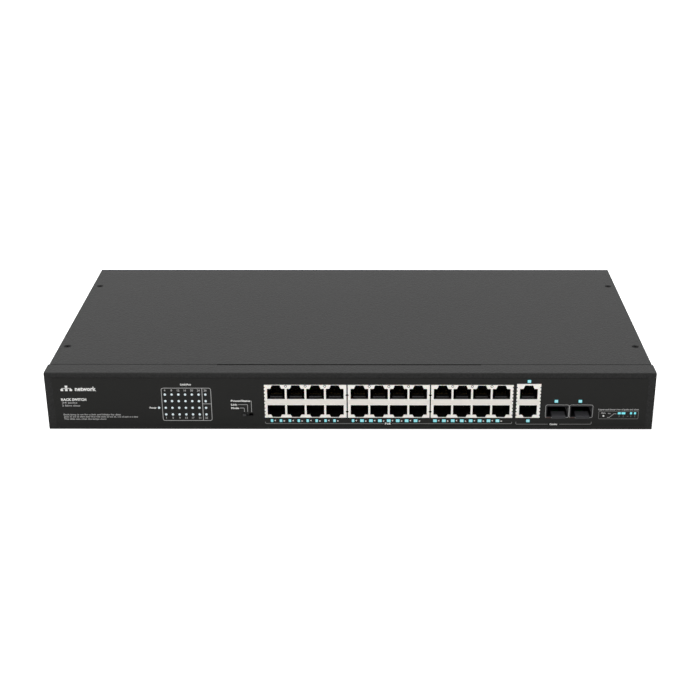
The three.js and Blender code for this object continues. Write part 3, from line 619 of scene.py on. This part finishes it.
def make_seams():
    """The shaded joint between neighbouring bezels, with two lozenge clips in it."""
    bm = bmesh.new()
    for left, right in (("1", "2"), ("2", "3")):
        left_high, right_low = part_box("jack_bezel_" + left)[1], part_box("jack_bezel_" + right)[0]
        x = (left_high.x + right_low.x) / 2
        block(
            bm, (x - 0.45 * MM, BEZEL_FACE - 0.02 * MM, right_low.z + 0.1 * MM),
            (x + 0.45 * MM, BEZEL_FACE + 0.6 * MM, left_high.z - 0.1 * MM),
        )
        for z in (27.2 * MM, 14.2 * MM):
            face_disc(bm, x, z, 1.2 * MM, BEZEL_FACE, 0.05 * MM, 4)
    show("bezel_seams", bm, [cut_dark], "root")


FINGERS = 9              # grounding fingers along one edge of a bezel


def make_edge_ticks():
    """Tips of the grounding fingers that show beside the outer edges of the bezels."""
    half_high = 0.42 * MM
    bm = bmesh.new()
    outer_edges = (
        (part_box("jack_bezel_1")[0].x, 1), (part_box("jack_bezel_3")[1].x, -1),
        (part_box("combo_jack_bezel")[0].x, 1), (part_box("combo_jack_bezel")[1].x, -1),
    )
    for x, inwards in outer_edges:
        for i in range(FINGERS):
            z = (11.6 + 2.7 * i) * MM
            near, far = sorted((x - inwards * 0.05 * MM, x + inwards * 0.55 * MM))
            block(
                bm, (near, BEZEL_FACE - 0.02 * MM, z - half_high),
                (far, BEZEL_FACE + 0.3 * MM, z + half_high),
            )
    show("bezel_edge_ticks", bm, [cut_dark], "root")


def make_jacks():
    for gang in GANGS:
        make_bezel("jack_bezel_" + gang, 4)
        make_jack("jack_body_" + gang, 4)
    make_bezel("combo_jack_bezel", 1)
    make_jack("combo_jack_body", 1)
    make_seams()
    make_edge_ticks()


# ---- transceiver cages ------------------------------------------------------------------------
TONGUE_OFFSET = 1.3 * MM      # the latch tongue sits to the right of the cage's middle
CAGE_WALL = 0.45 * MM
CAGE_FLOOR = 9.9 * MM + CAGE_WALL


def add_cage_plate(bm, centre):
    """The latch plate on the cage's floor, its far end raised to meet a transceiver."""
    half_wide = 5.05 * MM
    left, right = centre + TONGUE_OFFSET - half_wide, centre + TONGUE_OFFSET + half_wide
    front = BEZEL_FACE + 0.2 * MM
    block(
        bm, (left, front, CAGE_FLOOR + 0.05 * MM), (right, front + 8.0 * MM, CAGE_FLOOR + 0.3 * MM),
    )
    bmesh.ops.bisect_plane(
        bm, geom=bm.verts[:] + bm.edges[:] + bm.faces[:], plane_co=(0.0, front + 6.0 * MM, 0.0),
        plane_no=(0.0, 1.0, 0.0),
    )
    rear = [v for v in bm.verts if v.co.y > front + 7.0 * MM]
    bmesh.ops.translate(bm, verts=rear, vec=(0.0, 0.0, 0.6 * MM))


def add_side_leaves(bm, low, high):
    """Leaf springs pressed inwards from each side wall of a cage."""
    for wall, x in ((1, low.x + CAGE_WALL), (-1, high.x - CAGE_WALL)):
        root_x, tip_x = x + wall * 0.08 * MM, x + wall * 0.95 * MM
        leaf = block(
            bm, (min(root_x, root_x + wall * 0.12 * MM), BEZEL_FACE + 1.5 * MM, high.z - 5.2 * MM),
            (max(root_x, root_x + wall * 0.12 * MM), BEZEL_FACE + 7.5 * MM, high.z - 2.4 * MM),
        )
        tip = [v for v in leaf if v.co.y > BEZEL_FACE + 5.0 * MM]
        bmesh.ops.translate(bm, verts=tip, vec=(tip_x - root_x, 0.0, 0.0))


def make_cages():
    for number in ("1", "2"):
        node = "sfp_cage_" + number
        refined(node, shaded_cage_steel, 0.06 * MM, 1)
        refined("sfp_connector_" + number, black_plastic, 0.2 * MM, 1)
        low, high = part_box(node)
        plate, leaves, tab = bmesh.new(), bmesh.new(), bmesh.new()
        centre = (low.x + high.x) / 2
        add_cage_plate(plate, centre)
        soften(plate, 0.08 * MM, 1)
        add_side_leaves(leaves, low, high)
        block(
            tab, (low.x - 0.4 * MM, FILM_FACE - 0.06 * MM, low.z + 0.55 * MM),
            (centre + TONGUE_OFFSET - 5.6 * MM, FILM_FACE + 0.1 * MM, low.z + 0.85 * MM),
        )
        show(node + "_plate", plate, [latch_plate], "root")
        show(node + "_leaves", leaves, [dull_steel], "root")
        show(node + "_ground_tab", tab, [dull_copper], "root")


# ---- mode switch --------------------------------------------------------------------------------
def make_mode_switch():
    """The switch's body, and its knob with three grip ribs that end at the knob's face."""
    refined("mode_switch_body", black_plastic, 0.2 * MM, 1)
    bm = from_frame("mode_switch_knob")
    soften(bm, 0.15 * MM, 2)
    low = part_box("mode_switch_knob")[0]
    lever_x = middle_x("mode_switch_knob")
    rib = 0.18 * MM
    face = [v for v in bm.verts if v.co.y < low.y + rib]
    bmesh.ops.translate(bm, verts=face, vec=(0.0, rib, 0.0))
    for i in range(3):
        x = lever_x + 0.62 * MM * (i - 1)
        block(bm, (x - 0.14 * MM, low.y, 10.95 * MM), (x + 0.14 * MM, low.y + 2 * rib, 12.55 * MM))
    show(
        "mode_switch_knob_fine", bm, [knob_grey], "mode_switch_knob",
        ("mode_switch_knob",),
    )


make_case()
make_jacks()
make_cages()
make_mode_switch()


# ---- printing ------------------------------------------------------------------------------
INK = 0.03 * MM          # how far the print stands off the film
CAPITAL = 0.70           # height of a capital letter at a text size of 1
BOLD = 0.03              # how far the outlines of small words are thickened


def rounded(points, radius, steps=4, closed=False):
    """The same path with its corners cut round: each corner becomes a short curve."""
    path = []
    count = len(points)
    for i, point in enumerate(points):
        if not closed and i in (0, count - 1):
            path.append(point)
            continue
        corner = Vector(point)
        before = Vector(points[i - 1]) - corner
        after = Vector(points[(i + 1) % count]) - corner
        enter = corner + before.normalized() * radius
        leave = corner + after.normalized() * radius
        for k in range(steps + 1):
            t = k / steps
            path.append(tuple(enter * (1 - t) ** 2 + corner * 2 * t * (1 - t) + leave * t ** 2))
    return path


def add_converted(bm, curve, place):
    """Turns a curve or text into a mesh, puts it in place and adds it to a bmesh."""
    holder = bpy.data.objects.new(curve.name, curve)
    scene.collection.objects.link(holder)
    bpy.context.view_layer.update()
    depsgraph = bpy.context.evaluated_depsgraph_get()
    shape = bpy.data.meshes.new_from_object(holder.evaluated_get(depsgraph))
    shape.transform(place)
    bm.from_mesh(shape)
    bpy.data.objects.remove(holder)
    bpy.data.curves.remove(curve)
    bpy.data.meshes.remove(shape)


def ink_path(bm, points, width, closed=False):
    """Adds a printed line through (x, z) points to a bmesh, flattened onto the film."""
    curve = bpy.data.curves.new("ink_path", "CURVE")
    curve.dimensions = "3D"
    curve.bevel_depth = width / 2
    curve.bevel_resolution = 1
    curve.use_fill_caps = True
    spline = curve.splines.new("POLY")
    spline.points.add(len(points) - 1)
    for knot, (x, z) in zip(spline.points, points):
        knot.co = (x, 0.0, z, 1.0)
    spline.use_cyclic_u = closed
    flat = Matrix.Diagonal((1.0, 2 * INK / width, 1.0, 1.0))
    add_converted(bm, curve, Matrix.Translation((0.0, FILM_FACE, 0.0)) @ flat)


def lettering(bm, words, x, z, height, width=None, align="LEFT", weight=0.018, face=FILM_FACE):
    """Adds printed words: x is their left end or their middle, z their baseline."""
    text = bpy.data.curves.new("lettering", "FONT")
    text.body = words
    text.resolution_u = 2
    text.extrude = 0.5
    text.offset = weight
    holder = bpy.data.objects.new("measure", text)
    scene.collection.objects.link(holder)
    bpy.context.view_layer.update()
    corners = [Vector(c) for c in holder.bound_box]
    left, right = min(c.x for c in corners), max(c.x for c in corners)
    bpy.data.objects.remove(holder)
    up = height / CAPITAL
    along = width / (right - left) if width else up
    start = x - left * along if align == "LEFT" else x - (left + right) / 2 * along
    upright = Matrix.Rotation(math.radians(90), 4, "X")
    spread = Matrix.Diagonal((along, 2 * INK, up, 1.0))
    add_converted(bm, text, Matrix.Translation((start, face, z)) @ spread @ upright)


def ink_box(bm, x, z, width, height, corner):
    """Adds a filled printed box with round corners, centred on (x, z)."""
    made = block(
        bm, (x - width / 2, FILM_FACE - INK, z - height / 2),
        (x + width / 2, FILM_FACE + INK, z + height / 2),
    )
    edges = {e for v in made for e in v.link_edges}
    across = [e for e in edges if abs(e.verts[0].co.y - e.verts[1].co.y) > INK]
    bmesh.ops.bevel(
        bm, geom=across, offset=corner, segments=3, profile=0.5, affect="EDGES", material=-1,
    )


def ink_triangle(bm, x, z, size, up):
    """Adds a filled printed triangle that points up or down."""
    made = bmesh.ops.create_cone(
        bm, cap_ends=True, segments=3, radius1=size / 1.6, radius2=size / 1.6, depth=2 * INK,
    )["verts"]
    heading = math.radians(90 if up else 270)
    bmesh.ops.rotate(bm, verts=made, matrix=Matrix.Rotation(heading, 3, "Z"))
    bmesh.ops.rotate(bm, verts=made, matrix=Matrix.Rotation(math.radians(90), 3, "X"))
    bmesh.ops.translate(bm, verts=made, vec=(x, FILM_FACE, z))


def frame_line(bm, left, right, bottom, top, radius, width):
    """Adds a printed outline with round corners."""
    corners = [(left, bottom), (right, bottom), (right, top), (left, top)]
    ink_path(bm, rounded(corners, radius, closed=True), width, closed=True)


def bracket(bm, left, right, z, height, gap_at, gap, width):
    """An open bracket under a group of ports, broken where its name stands."""
    for end, stop in ((left, gap_at - gap / 2), (right, gap_at + gap / 2)):
        ink_path(bm, rounded([(end, z + height), (end, z), (stop, z)], 0.8 * MM), width)


# One bmesh an ink, and one for the lamps' windows
white, grey, pale, cyan = bmesh.new(), bmesh.new(), bmesh.new(), bmesh.new()
numerals, small_ink, windows = bmesh.new(), bmesh.new(), bmesh.new()

gang_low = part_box("jack_bezel_1")[0]
gang_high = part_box("jack_bezel_3")[1]
combo_low, combo_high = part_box("combo_jack_bezel")
NUMBER_Z = 6.95 * MM
NUMBER_STEP = 6.5 * MM
CHIP_HIGH = 2.2 * MM
CHIP_ROUND = 0.3 * MM
THIN_LINE = 0.32 * MM
LINE = 0.42 * MM
PORTS_IN_GANG = 8


def number_chip(number, x, z, width):
    """A filled chip with its port number in white."""
    ink_box(cyan, x, z, width, CHIP_HIGH, CHIP_ROUND)
    lettering(
        numerals, str(number), x, z - 0.62 * MM, 1.25 * MM, None, "CENTER", 0.02, FILM_FACE - INK,
    )


def print_port_numbers():
    """Number chips under each gang, with a pointer to the upper or the lower row."""
    starts = (-57.0 * MM, 2.0 * MM, 61.6 * MM)
    for index, first in enumerate(starts):
        for i in range(PORTS_IN_GANG):
            number = PORTS_IN_GANG * index + i + 1
            wide = number > 9
            x = first + NUMBER_STEP * i
            number_chip(number, x, NUMBER_Z, (2.7 if wide else 1.8) * MM)
            odd = number % 2 == 1
            pointer = x + (2.75 if wide else 2.4) * MM
            ink_triangle(white, pointer, NUMBER_Z + (0.1 if odd else -0.25) * MM, 1.2 * MM, odd)
    gang_name, combo_name = 27.3 * MM, 148.0 * MM
    bracket(
        grey, gang_low.x + 0.2 * MM, gang_high.x - 0.3 * MM, 4.65 * MM, 1.5 * MM, gang_name,
        6.0 * MM, LINE,
    )
    lettering(white, "PoE", gang_name, 3.95 * MM, 1.4 * MM, 4.2 * MM, "CENTER", BOLD)
    bracket(
        grey, combo_low.x + 0.4 * MM, 175.4 * MM, 4.3 * MM, 1.9 * MM, combo_name, 8.4 * MM, LINE,
    )
    lettering(white, "Combo", combo_name, 3.6 * MM, 1.4 * MM, 5.6 * MM, "CENTER", BOLD)
    combo_x = middle_x("combo_jack_bezel")
    number_chip(25, combo_x, combo_high.z + 2.0 * MM, 2.5 * MM)
    number_chip(26, combo_x + 0.4 * MM, NUMBER_Z, 2.5 * MM)


def print_cage_marks():
    """A rounded outline round each cage's mouth, and its number chip above."""
    for number, node in ((25, "sfp_cage_1"), (26, "sfp_cage_2")):
        low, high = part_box(node)
        frame_line(
            pale, low.x - 0.5 * MM, high.x + 0.5 * MM, 9.5 * MM, 19.55 * MM, 1.3 * MM, 0.36 * MM,
        )
        number_chip(number, (low.x + high.x) / 2 - 1.0 * MM, 22.45 * MM, 2.5 * MM)


LED_PITCH = 4.87 * MM
LED_COLUMNS = 7
LED_ROWS = [27.45 * MM, 22.3 * MM, 17.05 * MM, 11.83 * MM]
LED_LAST = pipe_high.x - 2.0 * MM
LED_FIRST = LED_LAST - LED_PITCH * (LED_COLUMNS - 1)
POWER_LED = (pipe_low.x + 2.0 * MM, LED_ROWS[2])


def lamp(x, z):
    """A shallow dome in the film over one of the light guide's pins."""
    made = bmesh.ops.create_uvsphere(windows, u_segments=16, v_segments=8, radius=0.9 * MM)["verts"]
    bmesh.ops.scale(windows, verts=made, vec=(1.0, 0.22, 1.0))
    bmesh.ops.translate(windows, verts=made, vec=(x, FILM_FACE, z))


def print_lamp_matrix():
    """The lamps in their outlined block, a number over and under each column, and Power."""
    left, right = LED_FIRST - 2.45 * MM, LED_LAST + 4.0 * MM
    bottom, top = 7.0 * MM, 32.5 * MM
    divide = LED_LAST - LED_PITCH / 2 + 0.1 * MM
    line = 0.5 * MM
    frame_line(pale, left, right, bottom, top, 1.6 * MM, line)
    ink_path(pale, [(divide, bottom), (divide, top)], line)
    across = 20.2 * MM
    ink_path(pale, [(divide, across), (right, across)], line)
    for column in range(LED_COLUMNS):
        x = LED_FIRST + LED_PITCH * column
        for z in LED_ROWS:
            lamp(x, z)
        high_number = 4 * (column + 1) if column < LED_COLUMNS - 1 else 26
        for number, z in ((high_number, 30.0 * MM), (4 * column + 1, 8.4 * MM)):
            lettering(pale, str(number), x, z, 1.5 * MM, None, "CENTER", BOLD)
    lettering(white, "Link/Act", (left + right) / 2, 34.7 * MM, 1.35 * MM, 7.8 * MM, "CENTER", BOLD)
    lamp(*POWER_LED)
    power_x, power_z = POWER_LED
    lettering(
        white, "Power", power_x - 6.8 * MM, power_z - 0.65 * MM, 1.4 * MM, 4.9 * MM, weight=BOLD,
    )


def print_mode_legend():
    """Names of the three slide positions, each with a line down to its place on the slot."""
    left = -86.3 * MM
    slot_top = 13.8 * MM
    names = (
        ("Power/Status", 22.6 * MM, 14.0 * MM, -71.6 * MM),
        ("Link", 19.6 * MM, 4.6 * MM, -74.4 * MM),
        ("Mode", 16.9 * MM, 5.7 * MM, -76.8 * MM),
    )
    for words, z, wide, end in names:
        lettering(white, words, left, z - 0.7 * MM, 1.4 * MM, wide, weight=BOLD)
        start = min(left + wide + 0.5 * MM, end - 0.4 * MM)
        ink_path(pale, rounded([(start, z), (end, z), (end, slot_top)], 0.4 * MM), LINE)


def print_right_legend():
    """A key to the pointers and the lamps, in a thin round-cornered box."""
    left, right = 179.9 * MM, 209.1 * MM
    lettering(
        pale, "Upper and lower row of jacks and slots", left, 15.4 * MM, 1.2 * MM, right - left,
        weight=BOLD,
    )
    frame_line(grey, left + 0.5 * MM, right, 8.6 * MM, 14.6 * MM, 0.8 * MM, THIN_LINE)
    lettering(pale, "Slide", 182.0 * MM, 12.7 * MM, 1.0 * MM, 3.4 * MM, weight=BOLD)
    ink_box(white, 183.9 * MM, 10.9 * MM, 1.3 * MM, 1.3 * MM, 0.6 * MM)
    lettering(pale, "on", 187.0 * MM, 12.5 * MM, 1.0 * MM, 1.9 * MM, weight=BOLD)
    step = [(186.6, 9.7), (188.2, 9.7), (191.4, 12.6), (193.2, 12.6)]
    ink_path(pale, [(x * MM, z * MM) for x, z in step], LINE)
    for x, wide in ((195.3, 2.2), (198.3, 2.8), (203.8, 1.5), (206.7, 1.5)):
        ink_box(cyan, x * MM, 13.0 * MM, wide * MM, 1.7 * MM, CHIP_ROUND)
        ink_path(grey, [(x * MM, 11.5 * MM), (x * MM, 9.9 * MM)], THIN_LINE)
    ink_path(grey, [(200.9 * MM, 10.6 * MM), (202.0 * MM, 10.6 * MM)], THIN_LINE)


def print_left_block():
    """Generic corner: a plain branching glyph, kind words and small print."""
    left = film_low.x + 5.7 * MM
    glyph = left + 4.2 * MM
    first, last = glyph - 3.2 * MM, glyph + 3.2 * MM
    branch = 0.45 * MM
    for x, z in ((glyph, 33.6), (first, 30.9), (glyph, 30.9), (last, 30.9)):
        ink_box(white, x, z * MM, 1.9 * MM, 1.5 * MM, 0.2 * MM)
    ink_path(white, [(first, 32.2 * MM), (last, 32.2 * MM)], branch)
    for x, low_z, high_z in ((glyph, 31.0, 33.4), (first, 31.0, 32.4), (last, 31.0, 32.4)):
        ink_path(white, [(x, low_z * MM), (x, high_z * MM)], branch)
    lettering(white, "network", left + 10.4 * MM, 30.3 * MM, 3.2 * MM, 15.2 * MM, weight=BOLD)
    lettering(white, "RACK SWITCH", left - 0.3 * MM, 22.6 * MM, 1.8 * MM, 18.2 * MM, weight=0.04)
    lettering(pale, "24 jacks", left, 20.4 * MM, 1.35 * MM, 11.2 * MM)
    lettering(pale, "2 fibre slots", left, 18.1 * MM, 1.35 * MM, 13.0 * MM)
    small = (
        ("Each lamp is on for a link and blinks for data", 11.1, 41.6),
        (
            "Jacks 25 and 26 share their lines with slots 25 and 26, one of each at a time",
            9.4, 54.0,
        ),
        ("The slide sets what the lamps show", 7.6, 31.0),
    )
    for words, z, wide in small:
        lettering(small_ink, words, left + 0.4 * MM, z * MM, 1.2 * MM, wide * MM, weight=0.025)


print_port_numbers()
print_cage_marks()
print_lamp_matrix()
print_mode_legend()
print_right_legend()
print_left_block()
show("print_white", white, [white_ink], "root")
show("print_numerals", numerals, [white_ink], "root")
show("print_pale", pale, [pale_ink], "root")
show("print_small", small_ink, [pale_ink], "root")
show("print_grey", grey, [grey_ink], "root")
show("print_cyan", cyan, [cyan_ink], "root")
show("lamp_windows", windows, [lamp_window], "root", (), 80.0)


# ---- screws, inlet, fans and what is inside ------------------------------------------------
def make_screws():
    for i in range(1, 5):
        refined(f"cover_screw_{i}", black_screw, 0.1 * MM, 1, 50.0)
        refined(f"board_screw_{i}", nickel_steel, 0.2 * MM, 2, 50.0)
    for i in range(1, 3):
        refined(f"psu_screw_{i}", nickel_steel, 0.2 * MM, 2, 50.0)
        refined(f"inlet_screw_{i}", nickel_steel, 0.1 * MM, 1, 50.0)
    refined("ground_screw", nickel_steel, 0.12 * MM, 2, 50.0)


def make_inlet():
    refined("power_inlet", black_plastic, 0.4 * MM, 2, 50.0)
    for pin in ("line", "neutral", "earth"):
        refined("inlet_pin_" + pin, brass_pin, 0.4 * MM, 2)


def make_fans():
    """Each frame stays on the case, and each rotor rides on its own body."""
    for i in ("1", "2"):
        refined("fan_frame_" + i, black_plastic, 0.3 * MM, 1, 50.0)
        refined("fan_rotor_" + i, black_plastic, 0.2 * MM, 1, 50.0, "fan_rotor_" + i)


def upright_can(bm, x, y, z, radius, height, sides=14):
    """A standing cylinder, from its foot."""
    made = bmesh.ops.create_cone(
        bm, cap_ends=True, segments=sides, radius1=radius, radius2=radius, depth=height,
    )["verts"]
    bmesh.ops.translate(bm, verts=made, vec=(x, y, z + height / 2))


def make_windings():
    """Taped coils that stick out on both sides of the transformer's core."""
    low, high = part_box("psu_transformer")
    core = 7.0 * MM
    coil_radius, coil_width, axis_height = 11.65 * MM, 7.6 * MM, 15.0 * MM
    x, y = (low.x + high.x) / 2, (low.y + high.y) / 2
    coils = bmesh.new()
    for side in (-1, 1):
        made = bmesh.ops.create_cone(
            coils, cap_ends=True, segments=40, radius1=coil_radius, radius2=coil_radius,
            depth=coil_width,
        )["verts"]
        bmesh.ops.rotate(coils, verts=made, matrix=Matrix.Rotation(math.radians(90), 3, "X"))
        middle = (x, y + side * (core + 3.9 * MM), BOARD_TOP + axis_height)
        bmesh.ops.translate(coils, verts=made, vec=middle)
    soften(coils, 0.6 * MM, 2)
    show("psu_transformer_coils", coils, [winding_tape], "root")


def make_board_parts():
    """Rows of small parts, gull-legged chips and a row of cans, on the main board."""
    chips, ends, cans = bmesh.new(), bmesh.new(), bmesh.new()
    for row in range(3):
        for i in range(14):
            x, y = (-52.0 + 18.0 * i) * MM, (34.0 + 22.0 * row) * MM
            block(chips, (x, y, BOARD_TOP), (x + 1.8 * MM, y + 1.0 * MM, BOARD_TOP + 0.7 * MM))
            for end in (-0.4, 1.8):
                block(
                    ends, (x + end * MM, y, BOARD_TOP),
                    (x + (end + 0.4) * MM, y + 1.0 * MM, BOARD_TOP + 0.72 * MM),
                )
    for i in range(6):
        x = (-48.0 + 44.0 * i) * MM
        block(
            chips, (x, 80.0 * MM, BOARD_TOP + 0.1 * MM),
            (x + 9.0 * MM, 87.0 * MM, BOARD_TOP + 1.6 * MM),
        )
        for leg in range(6):
            near = x + (0.9 + 1.3 * leg) * MM
            for y in (79.0, 87.0):
                block(
                    ends, (near, y * MM, BOARD_TOP),
                    (near + 0.5 * MM, (y + 1.0) * MM, BOARD_TOP + 0.5 * MM),
                )
    for i in range(8):
        upright_can(cans, (92.0 + 13.0 * i) * MM, -20.0 * MM, BOARD_TOP, 3.1 * MM, 8.0 * MM)
    show("board_small_parts", chips, [chip_plastic], "root")
    show("board_small_part_ends", ends, [nickel_steel], "root")
    show("board_small_cans", cans, [aluminium], "root")


def make_can_tops():
    """Bare metal ends of the sleeved capacitors."""
    bm = bmesh.new()
    for node in ("psu_bulk_capacitor", "psu_output_capacitor_1", "psu_output_capacitor_2"):
        low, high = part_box(node)
        radius = (high.x - low.x) / 2 - 1.2 * MM
        upright_can(
            bm, middle_x(node), (low.y + high.y) / 2, high.z - 0.4 * MM, radius, 0.5 * MM, 20,
        )
    show("capacitor_tops", bm, [aluminium], "root")


def make_inside():
    refined("main_board", board_green, 0.1 * MM, 1)
    refined("psu_board", board_green, 0.1 * MM, 1)
    refined("led_light_pipe", clear_plastic, 0.1 * MM, 1)
    refined("switch_chip", chip_plastic, 0.3 * MM, 2)
    for node in ("switch_heatsink", "poe_heatsink", "psu_heatsink_1", "psu_heatsink_2"):
        refined(node, aluminium, 0.15 * MM, 1)
    for i in range(1, 4):
        refined(f"magnetics_{i}", chip_plastic, 0.25 * MM, 2)
    refined("psu_transformer", core_ferrite, 0.3 * MM, 2, 50.0)
    refined("psu_line_choke", copper_winding, 0.4 * MM, 2, 50.0)
    for node in ("psu_bulk_capacitor", "psu_output_capacitor_1", "psu_output_capacitor_2"):
        refined(node, can_sleeve, 0.3 * MM, 2, 50.0)
    for node, sleeve in lead_sleeves.items():
        refined(node, sleeve, 0, 1, 70.0)


make_screws()
make_inlet()
make_fans()
make_inside()
make_windings()
make_board_parts()
make_can_tops()
